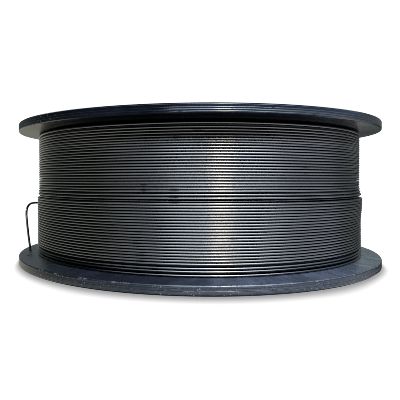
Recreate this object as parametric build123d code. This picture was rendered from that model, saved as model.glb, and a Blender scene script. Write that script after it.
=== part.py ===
from build123d import *
import os
from math import cos, sin, radians, degrees, acos, hypot, atan2, pi

os.makedirs("parts", exist_ok=True)

# ---------------------------------------------------------------- dimensions
# Spool standing on its lower flange: axis on Z, floor at z = 0, millimetres.
flange_d = 270.0          # outside diameter of both flanges
spool_width = 100.0       # overall width, face to face
rim_t = 5.8               # height of each rim
rim_band = 4.5            # radial width of the full-height band at the rim
flange_recess = 2.6       # depth of the outer face between rim and barrel
rim_round_outer = 1.2     # rounding of the rim's outer edges
rim_bevel_z = 0.55        # bevel of the rim's edges towards the wire: its height
rim_bevel_r = 0.32        # and its depth
taper_r_out = 134.0       # the inner faces slope from here, at the rim's height,
taper_r_in = 118.0        # to here, and are level from here to the barrel
taper_h = 1.65            # how much thicker the flanges are there

barrel_d = 160.0          # winding barrel
barrel_wall = 3.5
barrel_band = 2.0         # how far the barrel's end ring is wider than the barrel

bore_d = 52.0             # shaft bore of the hub
hub_wall = 4.5
mid_web_t = 4.0           # web at half width, between hub and barrel
spoke_t = 4.0
spoke_count = 4
spoke_set_back = 2.0      # spokes end this far below the outer faces
spoke_angle = 45.0

drive_hole_d = 10.5       # holes for the drive pin
drive_hole_r = 44.5       # their distance from the axis
drive_tube_d = 18.0

rib_count = 12            # stiffening ribs on the outer face of each flange
rib_t = 2.4
rib_angle = 15.0

wire_d = 1.6
pack_r_low = 122.2        # outside of the wound wire, lower half (one layer more)
pack_r_up = 120.9         # outside of the wound wire, upper half
pack_step_z = 48.7        # where the last layer stops
pack_top_z = 92.1
pack_bore_gap = 0.15

anchor_hole_d = 3.2       # small holes near the rim for tying off the wire
anchor_r = 127.75
anchor_angles = (191.9, 202.5)

# wire end: runs in the upright plane that touches the coil and holds the
# anchor hole; u is the distance along that plane, z the height
end_lift = 0.05           # clearance between the end and the coil's outside
end_start_z = 41.3
end_bend = ((31.2, 42.2), (39.3, 40.7), (42.7, 35.6), (39.3, 19.8))
end_radii = (14.0, 6.6, 6.6, 60.0)
end_tip_z = 1.2

R = flange_d / 2
bore_r = bore_d / 2
hub_r = bore_r + hub_wall
barrel_r = barrel_d / 2
pocket_r = barrel_r - barrel_wall


def ring(r_out, r_in, z0, z1):
    h = z1 - z0
    c = Cylinder(r_out, h, align=(Align.CENTER, Align.CENTER, Align.MIN))
    b = Cylinder(r_in, h + 2, align=(Align.CENTER, Align.CENTER, Align.MIN))
    return Pos(0, 0, z0) * c - Pos(0, 0, z0 - 1) * b


def face_z(r):
    """Height of the lower flange's inner face at a distance from the axis."""
    if r <= taper_r_in:
        return rim_t + taper_h
    return rim_t + taper_h * max(0.0, taper_r_out - r) / (taper_r_out - taper_r_in)


def radial_bar(r0, r1, t, z0, z1, angle):
    b = Box(r1 - r0, t, z1 - z0, align=(Align.MIN, Align.CENTER, Align.MIN))
    return Rot(0, 0, angle) * (Pos(r0, 0, z0) * b)


# ------------------------------------------------------------------- spool
def flange(z0, outer_down):
    """One flange: a disc with a sloped inner face and a ribbed outer face."""
    d = revolve(make_face(Polyline(
        (0, 0, 0), (R, 0, 0), (R, 0, rim_t - rim_bevel_z), (R - rim_bevel_r, 0, rim_t),
        (taper_r_out, 0, rim_t), (taper_r_in, 0, rim_t + taper_h), (0, 0, rim_t + taper_h),
        close=True)), Axis.Z)
    e = d.edges().filter_by(GeomType.CIRCLE).filter_by(
        lambda k: abs(k.radius - R) < 0.01 and abs(k.center().Z) < 0.01)
    d = fillet(e, rim_round_outer)
    r_in, r_out = barrel_r + barrel_band, R - rim_band
    d = d - ring(r_out, r_in, -1.0, flange_recess)
    for k in range(rib_count):
        d = d + radial_bar(r_in - 1, r_out + 1, rib_t, 0.0, flange_recess,
                           rib_angle + 360.0 * k / rib_count)
    if not outer_down:
        d = Pos(0, 0, rim_t) * (Rot(180, 0, 0) * d)
    return Pos(0, 0, z0) * d


spool = flange(0.0, True) + flange(spool_width - rim_t, False)
spool = spool + ring(barrel_r, pocket_r, 1.0, spool_width - 1.0)

# hollow between hub and barrel, open to both faces of the spool
spool = spool - Pos(0, 0, -1) * Cylinder(
    pocket_r, spool_width + 2, align=(Align.CENTER, Align.CENTER, Align.MIN))
zm = spool_width / 2
spool = spool + ring(pocket_r + 0.5, hub_r - 0.5, zm - mid_web_t / 2, zm + mid_web_t / 2)
spool = spool + ring(hub_r, bore_r, 0.0, spool_width)
for k in range(spoke_count):
    a = spoke_angle + 360.0 * k / spoke_count
    spool = spool + radial_bar(hub_r - 1, pocket_r + 1, spoke_t,
                               spoke_set_back, spool_width - spoke_set_back, a)
for a in (spoke_angle, spoke_angle + 180.0):
    place = Pos(drive_hole_r * cos(radians(a)), drive_hole_r * sin(radians(a)), 0)
    spool = spool + place * Cylinder(
        drive_tube_d / 2, spool_width, align=(Align.CENTER, Align.CENTER, Align.MIN))
    spool = spool - place * Pos(0, 0, -1) * Cylinder(
        drive_hole_d / 2, spool_width + 2, align=(Align.CENTER, Align.CENTER, Align.MIN))
for a in anchor_angles:
    place = Pos(anchor_r * cos(radians(a)), anchor_r * sin(radians(a)), -1)
    spool = spool - place * Cylinder(
        anchor_hole_d / 2, rim_t + 4, align=(Align.CENTER, Align.CENTER, Align.MIN))

# --------------------------------------------------------------- wound wire
pack_r_in = barrel_r + pack_bore_gap
wire_coil = revolve(make_face(Polyline(
    (pack_r_in, 0, face_z(pack_r_in)), (taper_r_in, 0, face_z(taper_r_in)),
    (pack_r_low, 0, face_z(pack_r_low)), (pack_r_low, 0, pack_step_z),
    (pack_r_up, 0, pack_step_z), (pack_r_up, 0, pack_top_z),
    (pack_r_in, 0, pack_top_z), close=True)), Axis.Z)

# ----------------------------------------------------------------- wire end
lie_r = pack_r_low + wire_d / 2 + end_lift
ah = radians(anchor_angles[0])
a0 = ah - acos(lie_r / anchor_r)                 # where the end leaves the coil
hole = Vector(anchor_r * cos(ah), anchor_r * sin(ah), 0)
start = Vector(lie_r * cos(a0), lie_r * sin(a0), 0)
run = (hole - start).normalized()
u_hole = (hole - start).length


def on_plane(u, z):
    p = start + run * u
    return Vector(p.X, p.Y, z)


web_mid = (face_z(anchor_r) + flange_recess) / 2
bu, bz = end_bend[-1]
lean = (bu - u_hole) / (bz - web_mid)
tip_u = u_hole - lean * (web_mid - end_tip_z)
route = [on_plane(0.0, end_start_z)] + [on_plane(u, z) for u, z in end_bend] + [
    on_plane(tip_u, end_tip_z)]
path = FilletPolyline(*route, radius=list(end_radii))
section = Plane(origin=path @ 0, z_dir=path % 0) * Circle(wire_d / 2)
wire_end = sweep(section, path=path)

print("wire end: length %.1f mm, radii %s, leaves at %.1f deg, u of hole %.2f" % (
    path.length, end_radii, degrees(a0), u_hole))
print("wire end volume / (section x length): %.4f" % (
    wire_end.volume / (pi * wire_d ** 2 / 4 * path.length)))

for name, solid in (("spool", spool), ("wire_coil", wire_coil), ("wire_end", wire_end)):
    solid.label = name
    export_step(solid, "parts/%s.step" % name)
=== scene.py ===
import bpy
import bmesh
import math
import random
from math import sin, cos, pi, radians, sqrt
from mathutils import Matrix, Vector


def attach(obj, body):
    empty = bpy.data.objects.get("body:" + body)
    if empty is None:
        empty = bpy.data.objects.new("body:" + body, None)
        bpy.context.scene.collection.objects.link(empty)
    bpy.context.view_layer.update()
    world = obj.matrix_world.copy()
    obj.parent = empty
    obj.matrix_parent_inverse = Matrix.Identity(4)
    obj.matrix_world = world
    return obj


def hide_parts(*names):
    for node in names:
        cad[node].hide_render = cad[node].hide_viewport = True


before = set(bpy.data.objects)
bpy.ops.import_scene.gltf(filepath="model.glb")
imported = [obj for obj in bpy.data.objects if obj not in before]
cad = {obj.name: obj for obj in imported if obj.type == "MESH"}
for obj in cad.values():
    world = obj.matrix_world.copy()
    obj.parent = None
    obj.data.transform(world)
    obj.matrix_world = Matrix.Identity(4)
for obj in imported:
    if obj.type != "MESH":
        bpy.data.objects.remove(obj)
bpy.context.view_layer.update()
scene = bpy.context.scene
MM = 0.001

# ------------------------------------------------------------------ sizes (mm)
FLANGE_R = 135.0
WIRE_R = 0.78
WIND_UP_R = 120.1         # middle of the wire in the upper, inner layer
WIND_LOW_R = 121.0        # middle of the wire in the lower, outer layer
BARREL_R = 80.15
ANCHOR_R = 127.75
ANCHOR_A = radians(191.9)

rng = random.Random(41)


# ------------------------------------------------------------- node helpers
class Tree:
    """A few short words for building a node tree."""

    def __init__(self, tree):
        self.t = tree
        self.t.nodes.clear()

    def add(self, kind, **kw):
        n = self.t.nodes.new(kind)
        for k, v in kw.items():
            setattr(n, k, v)
        return n

    def link(self, a, b):
        self.t.links.new(a, b)

    def put(self, sock, v):
        if isinstance(v, bpy.types.NodeSocket):
            self.link(v, sock)
        else:
            sock.default_value = v

    def math(self, op, a, b=0.0, c=None, clamp=False):
        n = self.add("ShaderNodeMath", operation=op, use_clamp=clamp)
        self.put(n.inputs[0], a)
        self.put(n.inputs[1], b)
        if c is not None:
            self.put(n.inputs[2], c)
        return n.outputs[0]

    def vmath(self, op, a, b=(0, 0, 0)):
        n = self.add("ShaderNodeVectorMath", operation=op)
        self.put(n.inputs[0], a)
        self.put(n.inputs[1], b)
        return n.outputs["Value"] if op in ("LENGTH", "DOT_PRODUCT", "DISTANCE") else n.outputs["Vector"]

    def xyz(self, v):
        n = self.add("ShaderNodeSeparateXYZ")
        self.put(n.inputs[0], v)
        return n.outputs[0], n.outputs[1], n.outputs[2]

    def comb(self, x, y, z):
        n = self.add("ShaderNodeCombineXYZ")
        for s, v in zip(n.inputs, (x, y, z)):
            self.put(s, v)
        return n.outputs[0]

    def ramp(self, v, lo, hi, a=0.0, b=1.0, kind="SMOOTHSTEP"):
        n = self.add("ShaderNodeMapRange", interpolation_type=kind, clamp=True)
        self.put(n.inputs["Value"], v)
        self.put(n.inputs["From Min"], lo)
        self.put(n.inputs["From Max"], hi)
        self.put(n.inputs["To Min"], a)
        self.put(n.inputs["To Max"], b)
        return n.outputs[0]

    def mix(self, f, a, b):
        n = self.add("ShaderNodeMix", data_type="RGBA")
        self.put(n.inputs[0], f)
        self.put(n.inputs[6], a)
        self.put(n.inputs[7], b)
        return n.outputs[2]

    def noise(self, v, scale, detail=2.0, rough=0.5, dist=0.0):
        n = self.add("ShaderNodeTexNoise")
        self.put(n.inputs["Vector"], v)
        n.inputs["Scale"].default_value = scale
        n.inputs["Detail"].default_value = detail
        n.inputs["Roughness"].default_value = rough
        n.inputs["Distortion"].default_value = dist
        return n.outputs[0]

    def spots(self, v, scale, rand=1.0):
        n = self.add("ShaderNodeTexVoronoi", feature="F1")
        self.put(n.inputs["Vector"], v)
        n.inputs["Scale"].default_value = scale
        n.inputs["Randomness"].default_value = rand
        return n.outputs["Distance"], n.outputs["Color"]


def material(name):
    m = bpy.data.materials.new(name)
    m.use_nodes = True
    return m, Tree(m.node_tree)


def finish_principled(t, color, metallic, rough, bump=None, strength=0.2, dist=0.0002, **fixed):
    b = t.add("ShaderNodeBsdfPrincipled")
    t.put(b.inputs["Base Color"], color)
    b.inputs["Metallic"].default_value = metallic
    t.put(b.inputs["Roughness"], rough)
    for k, v in fixed.items():
        b.inputs[k.replace("_", " ")].default_value = v
    if bump is not None:
        n = t.add("ShaderNodeBump")
        n.inputs["Strength"].default_value = strength
        n.inputs["Distance"].default_value = dist
        t.put(n.inputs["Height"], bump)
        t.link(n.outputs[0], b.inputs["Normal"])
    o = t.add("ShaderNodeOutputMaterial")
    t.link(b.outputs[0], o.inputs[0])
    return b


def round_space(t):
    """Object position, distance from the axis, angle and height, in metres."""
    c = t.add("ShaderNodeTexCoord").outputs["Object"]
    x, y, z = t.xyz(c)
    r = t.vmath("LENGTH", t.comb(x, y, 0.0))
    a = t.math("ARCTAN2", y, x)
    return c, r, a, z


# ---------------------------------------------------------------- materials
def spool_plastic():
    m, t = material("spool_plastic")
    c, r, a, z = round_space(t)
    px, py, pz = t.xyz(c)
    cloud = t.noise(c, 22.0, 3.0, 0.55)
    deep = t.mix(t.ramp(cloud, 0.3, 0.7), (0.0024, 0.0034, 0.0070, 1), (0.0048, 0.0064, 0.0118, 1))

    # painted tint: the far left end is grey-green rather than navy, standing in for the light that falls there
    deep = t.mix(t.ramp(px, -0.10, -0.05), (0.0044, 0.0050, 0.0052, 1), deep)

    on_rim = t.ramp(r, 0.1336, 0.1346)
    low_rim = t.math("MULTIPLY", on_rim, t.ramp(z, 0.0053, 0.0048))
    # rubbed, dusty film: most on the rim that it stands on, little on the other one; on that lower rim it is also a
    # painted sheen standing in for reflected light
    along = t.comb(t.math("MULTIPLY", a, 1.6), t.math("MULTIPLY", z, 60.0), r)
    streak = t.noise(along, 9.0, 4.0, 0.65)
    patch = t.noise(c, 34.0, 2.0, 0.6)
    film = t.math("MULTIPLY", t.ramp(streak, 0.42, 0.72), t.ramp(patch, 0.44, 0.68))
    dust_and_painted_sheen = t.math("MULTIPLY", film, t.math("MULTIPLY", on_rim, 0.03))
    speckle = t.noise(c, 1100.0, 1.0, 0.5)
    rim_wear_and_painted_sheen = t.math("MULTIPLY", t.math("ADD", 0.04, t.math("MULTIPLY", streak, 0.17)), t.ramp(speckle, 0.30, 0.70, 0.55, 1.45))
    # painted light: the lower rim's sheen is lighter towards the right side
    rim_wear_and_painted_sheen = t.math("MULTIPLY", rim_wear_and_painted_sheen, t.ramp(px, -0.09, 0.03, 0.26, 1.0))
    dust_and_painted_sheen = t.math("ADD", dust_and_painted_sheen, t.math("MULTIPLY", low_rim, rim_wear_and_painted_sheen), clamp=True)
    # dust that settles on the upward face of the lower flange, which also stands as a painted reflection of the coil,
    # lighter towards the right side (painted light)
    on_face = t.math("MULTIPLY", t.ramp(r, 0.1195, 0.1235), t.math("MULTIPLY", t.ramp(z, 0.0054, 0.0057), t.ramp(z, 0.0090, 0.0080)))
    face_dust_and_painted_sheen = t.math("ADD", 0.42, t.math("MULTIPLY", t.ramp(streak, 0.36, 0.70), 0.42))
    face_dust_and_painted_sheen = t.math("MULTIPLY", face_dust_and_painted_sheen, t.ramp(px, -0.025, 0.03, 0.20, 1.12))
    dust_and_painted_sheen = t.math("ADD", dust_and_painted_sheen, t.math("MULTIPLY", on_face, face_dust_and_painted_sheen), clamp=True)
    # the film and dust are tinted grey-green at the far ends and blue in the middle, a painted tint of the light
    # reflected there
    ends = t.math("MULTIPLY", t.ramp(px, -0.115, -0.06), t.ramp(px, 0.120, 0.085))
    deep = t.mix(dust_and_painted_sheen, deep, t.mix(ends, (0.092, 0.118, 0.122, 1), (0.130, 0.155, 0.215, 1)))
    # small light nicks and dust, mostly on the rims
    dist, seed = t.spots(c, 950.0)
    s1, s2, s3 = t.xyz(seed)
    speck = t.math("MULTIPLY", t.ramp(dist, 0.46, 0.18), t.math("GREATER_THAN", s1, 0.76))
    where = t.mix(t.ramp(z, 0.010, 0.014), t.ramp(patch, 0.36, 0.58, 0.20, 0.85), t.ramp(px, -0.078, -0.090, 0.05, 0.55))
    where = t.math("MULTIPLY", where, t.math("ADD", t.math("MULTIPLY", on_rim, 0.95), 0.05))
    speck = t.math("MULTIPLY", speck, where)
    # light chips along the edge of the lower rim, which also stand as a painted highlight on that edge
    edge = t.math("MULTIPLY", t.ramp(r, 0.1338, 0.1344), t.math("MULTIPLY", t.ramp(z, 0.0050, 0.0053), t.ramp(z, 0.0064, 0.0060)))
    edge_chip_and_painted_glint = t.noise(t.comb(t.math("MULTIPLY", a, 26.0), 0.7, 0.0), 1.0, 3.0, 0.6)
    edge_chip_and_painted_glint = t.math("MULTIPLY", edge, t.ramp(edge_chip_and_painted_glint, 0.53, 0.68, 0.0, 0.26))
    colour = t.mix(t.math("MULTIPLY", speck, t.math("ADD", 0.15, t.math("MULTIPLY", s2, 0.50))), deep, (0.40, 0.42, 0.46, 1))
    colour = t.mix(edge_chip_and_painted_glint, colour, (0.40, 0.44, 0.50, 1))

    # fine turned lines and a few low ridges round the rims, and a soft moulded grain elsewhere
    fine = t.noise(t.comb(t.math("MULTIPLY", a, 0.5), t.math("MULTIPLY", z, 1000.0), 0.0), 1.0, 2.0, 0.5)
    lines = t.math("MULTIPLY", fine, 0.14)
    sway = t.noise(t.comb(t.math("MULTIPLY", a, 5.0), 0.3, 0.0), 1.0, 2.0, 0.6)
    zs = t.math("ADD", z, t.math("MULTIPLY", t.math("SUBTRACT", sway, 0.5), 0.0006))
    broken = t.noise(t.comb(t.math("MULTIPLY", a, 17.0), t.math("MULTIPLY", z, 900.0), 0.0), 1.0, 2.0, 0.6)
    for at, half, tall in ((95.30, 0.40, 0.272), (96.40, 0.46, 0.313), (97.60, 0.28, 0.190), (2.85, 0.18, 0.195)):
        one = t.ramp(t.math("ABSOLUTE", t.math("SUBTRACT", zs, at * MM)), 0.0, half * MM, tall, 0.0, "LINEAR")
        lines = t.math("ADD", lines, t.math("MULTIPLY", one, t.math("MULTIPLY", t.ramp(broken, 0.24, 0.42), t.ramp(px, -0.028, 0.0, 0.30, 1.0))))
    lines = t.math("MULTIPLY", lines, on_rim)
    grain = t.noise(c, 900.0, 2.0, 0.5)
    height = t.math("ADD", lines, t.math("MULTIPLY", grain, 0.03))
    height = t.math("ADD", height, t.math("MULTIPLY", speck, 0.08))
    rough = t.math("ADD", t.ramp(px, -0.105, -0.085, 0.30, 0.17), t.math("MULTIPLY", on_rim, -0.07))
    rough = t.math("ADD", rough, t.math("MULTIPLY", dust_and_painted_sheen, 0.10))
    rough = t.math("ADD", rough, t.math("MULTIPLY", t.ramp(cloud, 0.3, 0.7), 0.05))
    rough = t.math("ADD", rough, t.math("MULTIPLY", speck, 0.3), clamp=True)
    finish_principled(t, colour, 0.0, rough, height, 1.0, 0.0005, IOR=1.50, Specular_Tint=(0.82, 0.91, 1.0, 1.0))
    return m


def wire_steel():
    m, t = material("wire_steel")
    c, r, a, z = round_space(t)
    along = t.comb(t.math("MULTIPLY", a, 1.2), t.math("MULTIPLY", z, 1500.0), t.math("MULTIPLY", r, 1500.0))
    drawn = t.noise(along, 1.0, 2.0, 0.5)
    patch = t.noise(c, 45.0, 3.0, 0.55)
    turn = t.noise(t.comb(t.math("MULTIPLY", a, 0.9), t.math("MULTIPLY", z, 420.0), 0.0), 1.0, 1.0, 0.5)
    tone = t.math("ADD", t.math("MULTIPLY", drawn, 0.45), t.math("MULTIPLY", turn, 0.55))
    colour = t.mix(t.ramp(tone, 0.30, 0.70), (0.086, 0.086, 0.0875, 1), (0.118, 0.118, 0.1195, 1))
    colour = t.mix(t.math("MULTIPLY", t.ramp(patch, 0.52, 0.75), 0.30), colour, (0.072, 0.0705, 0.068, 1))
    # painted shade: where the wire faces up or down, in the grooves between turns, its colour is taken near black
    out = t.add("ShaderNodeAttribute", attribute_name="lie").outputs["Fac"]
    colour = t.mix(t.ramp(out, 0.50, 0.80, 0.86, 0.0), colour, (0.004, 0.004, 0.004, 1))
    rough = t.math("ADD", 0.17, t.math("MULTIPLY", turn, 0.05))
    rough = t.math("ADD", rough, t.math("MULTIPLY", t.ramp(patch, 0.45, 0.75), 0.03))
    finish_principled(t, colour, 1.0, rough, drawn, 0.10, 0.00001)
    return m


def wire_depth_painted_shade():
    """The older layers, seen only in the gaps between turns, coloured darker than the wire as painted shade."""
    m, t = material("wire_depth_painted_shade")
    c, r, a, z = round_space(t)
    n = t.noise(t.comb(t.math("MULTIPLY", a, 2.0), t.math("MULTIPLY", z, 620.0), 0.0), 1.0, 2.0, 0.5)
    colour = t.mix(t.ramp(n, 0.35, 0.65), (0.012, 0.012, 0.013, 1), (0.05, 0.05, 0.052, 1))
    finish_principled(t, colour, 0.6, t.math("ADD", 0.45, t.math("MULTIPLY", n, 0.2)), n, 0.2, 0.0002)
    return m


M_SPOOL = spool_plastic()
M_WIRE = wire_steel()
M_DEPTH_PAINTED_SHADE = wire_depth_painted_shade()


def new_object(name, verts, faces, mats, smooth=True):
    me = bpy.data.meshes.new(name)
    me.from_pydata(verts, [], faces)
    me.update()
    for m in mats:
        me.materials.append(m)
    me.polygons.foreach_set("use_smooth", [smooth] * len(me.polygons))
    ob = bpy.data.objects.new(name, me)
    scene.collection.objects.link(ob)
    return ob


def smooth01(x):
    x = max(0.0, min(1.0, x))
    return x * x * (3 - 2 * x)


# ------------------------------------------------------------------- winding
BACK = radians(90.0)      # the wire steps over to the next turn here
STEP = radians(26.0)


def waver(k, phi, seed, amp):
    """Small unevenness that neighbouring turns share."""
    return amp * (0.55 * sin(2 * phi + seed + 0.13 * k) + 0.30 * sin(5 * phi + 2.3 * seed - 0.21 * k)
                  + 0.25 * sin(11 * phi + 0.7 * seed + 0.37 * k))


# (angle from the front in degrees, lowest and highest turn in mm, outward push in mm, tilt in degrees)
KNOCKS = ((0.6, 84.8, 88.2, 0.10, 3.6), (-5.2, 81.6, 85.0, 0.08, 3.2), (-13.8, 53.0, 58.5, 0.07, 4.2),
          (-5.6, 45.5, 55.5, 0.07, 3.8), (-15.5, 24.0, 31.0, 0.06, 3.4), (-14.2, 14.0, 21.0, 0.05, 3.4),
          (-23.0, 32.0, 37.0, 0.06, 3.0), (9.5, 26.0, 30.0, 0.04, 2.4), (31.0, 62.0, 67.0, 0.05, 3.0),
          (52.0, 20.0, 27.0, 0.06, 3.2), (118.0, 58.0, 66.0, 0.07, 4.0), (-121.0, 22.0, 33.0, 0.06, 4.0))


def knock(phi, z, k):
    """How much turn k is pushed out and tilted at a place, by turns one way and the other."""
    way = 1.6 if k % 2 else -1.2
    push = tilt = 0.0
    for at, lo, hi, out, lean in KNOCKS:
        if lo <= z <= hi:
            off = (phi - radians(270.0 + at) + pi) % (2 * pi) - pi
            w = math.exp(-(off / 0.017) ** 2)
            push += way * out * w
            tilt += way * lean * w
    return push, tilt


def winding_path(levels, radius, segs, seed, cut=0.0):
    """Points of one continuous wire: one turn on each level, stepping over at the back."""
    pts = []
    n = len(levels)
    jit = [rng.uniform(-0.035, 0.035) for _ in range(n)]
    jr = [rng.uniform(-0.03, 0.03) for _ in range(n)]
    turn = [rng.uniform(-0.7, 0.7) for _ in range(n)]
    total = n * segs - int(round(cut / (2 * pi) * segs))
    for i in range(total + 1):
        k = min(i // segs, n - 1)
        phi = BACK + 2 * pi * i / segs
        f = phi - BACK - 2 * pi * k
        z, r = levels[k] + jit[k], radius(k, phi) + jr[k]
        s = smooth01(f / STEP)
        if k > 0:
            z = (levels[k - 1] + jit[k - 1]) * (1 - s) + z * s
            r = (radius(k - 1, phi) + jr[k - 1]) * (1 - s) + r * s + 0.10 * sin(pi * s)
        else:
            r -= 1.9 * (1 - s)      # the first turn comes up from under the older ones
        z += waver(k, phi, seed, 0.06)
        r += waver(k, phi, seed + 1.7, 0.035)
        push, tilt = knock(phi, z, k)
        r += push
        lean = 24.2 + 0.108 * (50.0 - z) + turn[k] + 0.25 * sin(3 * phi + seed + 0.31 * k) + tilt
        pts.append((phi, r, z, radians(lean)))
    return pts


SOFT = 0.25               # how much of the round is left in each flat


def tube_from_polar(pts, wire_r, sides):
    """A closed tube along (angle, radius, height, lean) points in millimetres, and its corner normals."""
    verts, faces, normals = [], [], []
    n = len(pts)
    half = pi / sides
    for phi, r, z, lean in pts:
        cp, sp = cos(phi), sin(phi)
        for j in range(sides):
            a = lean - half + 2 * half * j
            rr = r + wire_r * cos(a)
            verts.append((rr * cp * MM, rr * sp * MM, (z + wire_r * sin(a)) * MM))

    def facing(i, a):
        phi = pts[i][0]
        return (cos(a) * cos(phi), cos(a) * sin(phi), sin(a))

    for i in range(n - 1):
        for j in range(sides):
            j2 = (j + 1) % sides
            faces.append((i * sides + j, (i + 1) * sides + j, (i + 1) * sides + j2, i * sides + j2))
            m0, m1 = pts[i][3] + 2 * half * j, pts[i + 1][3] + 2 * half * j
            normals += [facing(i, m0 - SOFT * half), facing(i + 1, m1 - SOFT * half),
                        facing(i + 1, m1 + SOFT * half), facing(i, m0 + SOFT * half)]
    for i, order, back in ((0, range(sides), -1), (n - 1, reversed(range(sides)), 1)):
        faces.append(tuple(i * sides + j for j in order))
        phi = pts[i][0]
        normals += [(-back * sin(phi), back * cos(phi), 0.0)] * sides
    return verts, faces, normals


def wind(name, pts, sides):
    """The wire of one layer, with a mark on each point of how far out it lies on the wire, which its material uses to
    paint shade into the grooves between turns.
    """
    v, f, nn = tube_from_polar(pts, WIRE_R, sides)
    ob = new_object(name, v, f, [M_WIRE])
    ob.data.normals_split_custom_set(nn)
    lie = ob.data.attributes.new("lie", "FLOAT", "POINT")
    lie.data.foreach_set("value", [cos(p[3] - pi / sides + 2 * pi / sides * j) for p in pts for j in range(sides)])
    return ob


SEGS, SIDES = 288, 10
RIGHT = radians(338.0)    # the side where the outer layer bulges

# upper layer, wound from the top down; its last turns climb onto the next layer
up = [91.25, 89.05, 87.45, 85.8, 84.15, 82.55, 81.1, 79.7]
up += [79.7 - 1.625 * i for i in range(1, 17)]
up += [51.75, 49.95, 48.30]


def up_radius(k, phi):
    if k == 26:
        return WIND_UP_R - 0.45     # this turn already lies deeper, beside the outer layer
    climb = {23: 0.10, 24: 0.30, 25: 0.55}.get(k, 0.0)
    return WIND_UP_R + climb * (1.25 + 0.75 * cos(phi - RIGHT))


up_pts = winding_path(up, up_radius, SEGS, 0.6)
phi1, r1, z1, lean1 = up_pts[-1]
for i in range(1, 33):        # its end goes on under the outer layer
    s = smooth01(i / 32)
    up_pts.append((phi1 + 2 * pi * i / SEGS, r1 + (118.7 - r1) * s, z1 + (46.4 - z1) * s, lean1))
winding_upper = wind("winding_upper", up_pts, SIDES)

# lower layer, the last one, wound from the bottom up
low = [8.0, 10.15, 11.85] + [14.2 + 1.6345 * i for i in range(21)]
TAIL_CUT = radians(10.0)  # the last turn ends at the back, where the wire end takes over


def low_radius(k, phi):
    return WIND_LOW_R + 0.95 * smooth01((low[k] - 30.0) / 14.0) * (0.5 + 0.5 * cos(phi - RIGHT))


low_pts = winding_path(low, low_radius, SEGS, 2.1, cut=TAIL_CUT)
winding_lower = wind("winding_lower", low_pts, SIDES)


def turned(name, profile, segs, mats):
    """A closed ring turned from a profile of (radius, height) in millimetres."""
    verts, faces = [], []
    n = len(profile)
    for i in range(segs):
        a = 2 * pi * i / segs
        for r, z in profile:
            verts.append((r * cos(a) * MM, r * sin(a) * MM, z * MM))
    for i in range(segs):
        i2 = (i + 1) % segs
        for j in range(n):
            j2 = (j + 1) % n
            faces.append((i * n + j, i2 * n + j, i2 * n + j2, i * n + j2))
    return new_object(name, verts, faces, mats, smooth=False)


core = turned("winding_core", [(BARREL_R, 7.5), (117.0, 7.5), (118.6, 8.6), (119.4, 10.0), (119.4, 46.0), (118.7, 48.0), (118.6, 91.6), (BARREL_R, 91.6)],
              192, [M_DEPTH_PAINTED_SHADE])
for piece in (winding_upper, winding_lower, core):
    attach(piece, "root")
    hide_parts("wire_coil")

# ------------------------------------------------------------------ wire end
# From the last turn the wire slants down across the coil's outside, leaves it
# at a tangent, bends down and goes into the anchor hole of the lower flange.
LIE_R = 123.05
leave = ANCHOR_A - math.acos(LIE_R / ANCHOR_R)
start = Vector((LIE_R * cos(leave), LIE_R * sin(leave)))
hole = Vector((ANCHOR_R * cos(ANCHOR_A), ANCHOR_R * sin(ANCHOR_A)))
run = (hole - start).normalized()
u_hole = (hole - start).length

phi0, r0, z0, _ = low_pts[-1]
phi0 = phi0 % (2 * pi)
ctrl = []
N = 14
for i in range(N):
    s = i / N
    w = smooth01(s)
    phi = phi0 + (leave - phi0) * s
    ctrl.append(Vector(((r0 + (LIE_R - r0) * smooth01(min(1, s * 2.2))) * cos(phi),
                        (r0 + (LIE_R - r0) * smooth01(min(1, s * 2.2))) * sin(phi),
                        z0 + (41.3 - z0) * w)))
for u, z in ((0.0, 41.3), (10.0, 41.6), (20.0, 41.9), (28.5, 42.15), (34.5, 41.95), (38.9, 40.6), (41.6, 38.0),
             (42.35, 34.6), (41.7, 30.0), (40.3, 24.0), (38.6, 17.6), (36.6, 11.2), (34.9, 6.2), (33.4, 1.3)):
    p = start + run * u
    ctrl.append(Vector((p.x, p.y, z)))


def catmull(points, per):
    out = []
    for i in range(len(points) - 1):
        p0 = points[i - 1] if i > 0 else points[0] * 2 - points[1]
        p1, p2 = points[i], points[i + 1]
        p3 = points[i + 2] if i + 2 < len(points) else p2 * 2 - p1
        for j in range(per):
            t = j / per
            out.append(0.5 * ((2 * p1) + (p2 - p0) * t + (2 * p0 - 5 * p1 + 4 * p2 - p3) * t * t
                              + (3 * p1 - p0 - 3 * p2 + p3) * t ** 3))
    out.append(points[-1])
    return out


def tube_along(points, wire_r, sides):
    verts, faces = [], []
    n = len(points)
    normal = None
    for i, p in enumerate(points):
        d = (points[min(i + 1, n - 1)] - points[max(i - 1, 0)]).normalized()
        if normal is None:
            normal = d.orthogonal().normalized()
        normal = (normal - d * normal.dot(d)).normalized()
        side = d.cross(normal)
        for j in range(sides):
            a = 2 * pi * j / sides
            q = p + (normal * cos(a) + side * sin(a)) * wire_r
            verts.append(tuple(q * MM))
    for i in range(n - 1):
        for j in range(sides):
            j2 = (j + 1) % sides
            faces.append((i * sides + j, i * sides + j2, (i + 1) * sides + j2, (i + 1) * sides + j))
    faces.append(tuple(reversed(range(sides))))
    faces.append(tuple((n - 1) * sides + j for j in range(sides)))
    return verts, faces


v, f = tube_along(catmull(ctrl, 8), WIRE_R, 16)
wire_end = new_object("wire_end_bent", v, f, [M_WIRE])
lie = wire_end.data.attributes.new("lie", "FLOAT", "POINT")
lie.data.foreach_set("value", [1.0] * len(v))
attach(wire_end, "root")
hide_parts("wire_end")

# ------------------------------------------------------------------- spool
spool = cad["spool"]
spool.data.materials.clear()
spool.data.materials.append(M_SPOOL)

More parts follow.
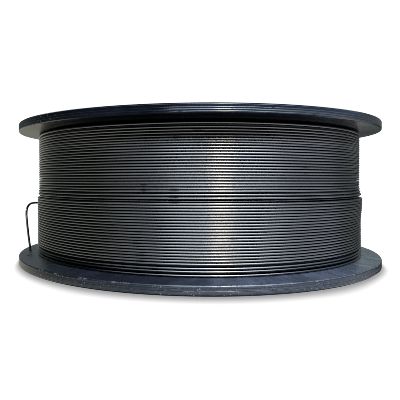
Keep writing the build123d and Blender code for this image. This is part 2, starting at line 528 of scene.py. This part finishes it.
# --------------------------------------------------------------------- stage
def floor_material():
    """Pale floor with a painted soft shadow round the spool's foot."""
    m, t = material("floor_white")
    c = t.add("ShaderNodeTexCoord").outputs["Object"]
    x, y, z = t.xyz(c)
    r = t.vmath("LENGTH", c)
    ahead = t.ramp(t.math("DIVIDE", y, r), 0.02, -0.62)
    width = t.math("ADD", 0.0058, t.math("MULTIPLY", ahead, 0.0122))
    across = t.math("DIVIDE", x, r)
    width = t.math("MULTIPLY", width, t.ramp(across, -0.92, -0.42, 0.36, 1.0, "LINEAR"))
    width = t.math("MULTIPLY", width, t.ramp(across, 0.50, 0.86, 1.0, 0.45))
    s = t.math("DIVIDE", t.math("SUBTRACT", r, 0.1338), width)
    n = t.noise(c, 60.0, 2.0, 0.5)
    shade = t.math("ADD", t.ramp(s, 0.0, 1.0, 0.375, 1.05), t.math("MULTIPLY", t.math("SUBTRACT", n, 0.5), 0.01))
    e = t.add("ShaderNodeEmission")
    e.inputs["Color"].default_value = (1, 1, 1, 1)
    t.put(e.inputs["Strength"], shade)
    o = t.add("ShaderNodeOutputMaterial")
    t.link(e.outputs[0], o.inputs[0])
    return m


S = 6.0
floor = new_object("floor", [(-S, -S, -0.0001), (S, -S, -0.0001), (S, S, -0.0001), (-S, S, -0.0001)], [(0, 1, 2, 3)],
                   [floor_material()], smooth=False)
floor.visible_glossy = False
floor.visible_diffuse = False


def sky_material():
    m, t = material("backdrop_white")
    e = t.add("ShaderNodeEmission")
    e.inputs["Color"].default_value = (1, 1, 1, 1)
    e.inputs["Strength"].default_value = 1.05
    o = t.add("ShaderNodeOutputMaterial")
    t.link(e.outputs[0], o.inputs[0])
    return m


bm = bmesh.new()
bmesh.ops.create_uvsphere(bm, u_segments=48, v_segments=24, radius=8.0)
me = bpy.data.meshes.new("backdrop")
bm.to_mesh(me)
bm.free()
me.materials.append(sky_material())
backdrop = bpy.data.objects.new("backdrop", me)
scene.collection.objects.link(backdrop)
backdrop.visible_diffuse = False
backdrop.visible_glossy = False
backdrop.visible_transmission = False
backdrop.visible_shadow = False

# --------------------------------------------------------------------- light
world = bpy.data.worlds.new("studio")
scene.world = world
world.use_nodes = True
t = Tree(world.node_tree)
d = t.add("ShaderNodeTexCoord").outputs["Generated"]
x, y, z = t.xyz(d)
side = t.ramp(x, -0.8, 0.8)
behind = t.ramp(y, 0.10, 0.60)
KEY_AZ = 20.3
level = t.vmath("NORMALIZE", t.vmath("MULTIPLY", d, (1, 1, 0)))
toward = t.vmath("DOT_PRODUCT", level, (sin(radians(KEY_AZ)), -cos(radians(KEY_AZ)), 0))
# the room in front: dim, lighter towards the lamp; the pale floor below it, and a wide glow beside the lamp
room_front = t.mix(side, (0.022, 0.036, 0.050, 1), (0.08, 0.11, 0.15, 1))
room_front = t.mix(t.math("MULTIPLY", t.ramp(x, 0.45, 0.88), t.ramp(z, 0.36, 0.22)), room_front, (0.39, 0.68, 1.02, 1))
room_front = t.mix(t.ramp(toward, 0.78, 1.0), room_front, (0.42, 0.56, 0.90, 1))
high = t.mix(side, (0.06, 0.066, 0.066, 1), (0.09, 0.10, 0.115, 1))
room_front = t.mix(t.ramp(z, 0.35, 0.60), room_front, high)
floor_front = t.mix(side, (1.18, 1.23, 1.10, 1), (1.78, 1.85, 2.0, 1))
floor_front = t.mix(t.ramp(toward, 0.55, 1.0), floor_front, t.mix(t.ramp(z, -0.40, -0.32), (0.80, 0.80, 0.80, 1), (3.0, 3.0, 3.0, 1)))
floor_front = t.mix(t.ramp(z, -0.27, -0.20), floor_front, t.mix(side, (0.34, 0.34, 0.33, 1), (0.90, 0.92, 0.98, 1)))
floor_front = t.mix(t.ramp(z, -0.42, -0.62), floor_front, (0.10, 0.10, 0.10, 1))
front = t.mix(t.ramp(z, -0.025, 0.025), floor_front, room_front)
above_back = t.mix(side, (0.085, 0.12, 0.12, 1), (0.19, 0.215, 0.22, 1))
right_low = t.mix(t.ramp(z, -0.215, -0.245), (0.045, 0.056, 0.058, 1), (0.95, 0.95, 0.94, 1))
right_low = t.mix(t.ramp(y, 0.48, 0.78), (0.36, 0.37, 0.38, 1), right_low)
low_back = t.mix(t.ramp(x, -0.45, 0.30), (0.57, 0.56, 0.48, 1), right_low)
low_back = t.mix(t.ramp(z, -0.42, -0.62), low_back, (0.08, 0.08, 0.08, 1))
back = t.mix(t.ramp(z, -0.03, 0.03), low_back, above_back)
room = t.mix(behind, front, back)
# the lamp is a wide soft arc overhead in front, lower at its ends and brightest in its middle
turned_off = t.math("SUBTRACT", 1.0, t.vmath("DOT_PRODUCT", level, (0, -1, 0)))
mid = t.math("SUBTRACT", 0.715, t.math("MULTIPLY", turned_off, t.math("ADD", 0.18, t.math("MULTIPLY", turned_off, 0.07))))
dz = t.math("SUBTRACT", z, mid)
arc = t.math("MULTIPLY", t.ramp(dz, -0.15, -0.11), t.ramp(dz, 0.115, 0.085))
lamp = t.mix(t.ramp(toward, -0.10, 0.80, kind="LINEAR"), (0, 0, 0, 1), (2.10, 2.42, 3.00, 1))
lamp = t.vmath("ADD", lamp, t.mix(t.ramp(toward, 0.58, 0.97), (0, 0, 0, 1), (5.6, 6.2, 7.0, 1)))
lamp = t.vmath("ADD", lamp, t.mix(t.ramp(toward, 0.93, 0.985), (0, 0, 0, 1), (1.6, 1.7, 1.8, 1)))
lamp = t.vmath("ADD", lamp, t.mix(t.ramp(toward, 0.990, 0.9985), (0, 0, 0, 1), (17.5, 15.2, 11.6, 1)))
room = t.vmath("ADD", room, t.vmath("MULTIPLY", lamp, t.comb(arc, arc, arc)))
rear = t.math("MULTIPLY", t.ramp(t.vmath("DOT_PRODUCT", level, (0, 1, 0)), 0.45, 0.85), t.math("MULTIPLY", t.ramp(z, 0.42, 0.50), t.ramp(z, 0.78, 0.72)))
room = t.vmath("ADD", room, t.mix(rear, (0, 0, 0, 1), (1.9, 2.0, 2.2, 1)))
bg = t.add("ShaderNodeBackground")
t.put(bg.inputs["Color"], room)
bg.inputs["Strength"].default_value = 1.0
o = t.add("ShaderNodeOutputWorld")
t.link(bg.outputs[0], o.inputs[0])


# -------------------------------------------------------------------- camera
cam_data = bpy.data.cameras.new("camera")
cam = bpy.data.objects.new("camera", cam_data)
scene.collection.objects.link(cam)
cam.location = (0.0, -0.376, 0.0605)
cam.rotation_euler = (pi / 2, 0.0, 0.0655)
cam_data.sensor_width = 36.0
cam_data.lens = 36.0 * 469.7 / 400.0
cam_data.shift_x = (200.0 - 164.9) / 400.0
cam_data.shift_y = -(200.0 - 179.1) / 400.0
cam_data.clip_start = 0.01
cam_data.clip_end = 50.0
scene.camera = cam
scene.view_settings.view_transform = "Standard"

scene.cycles.filter_width = 0.8
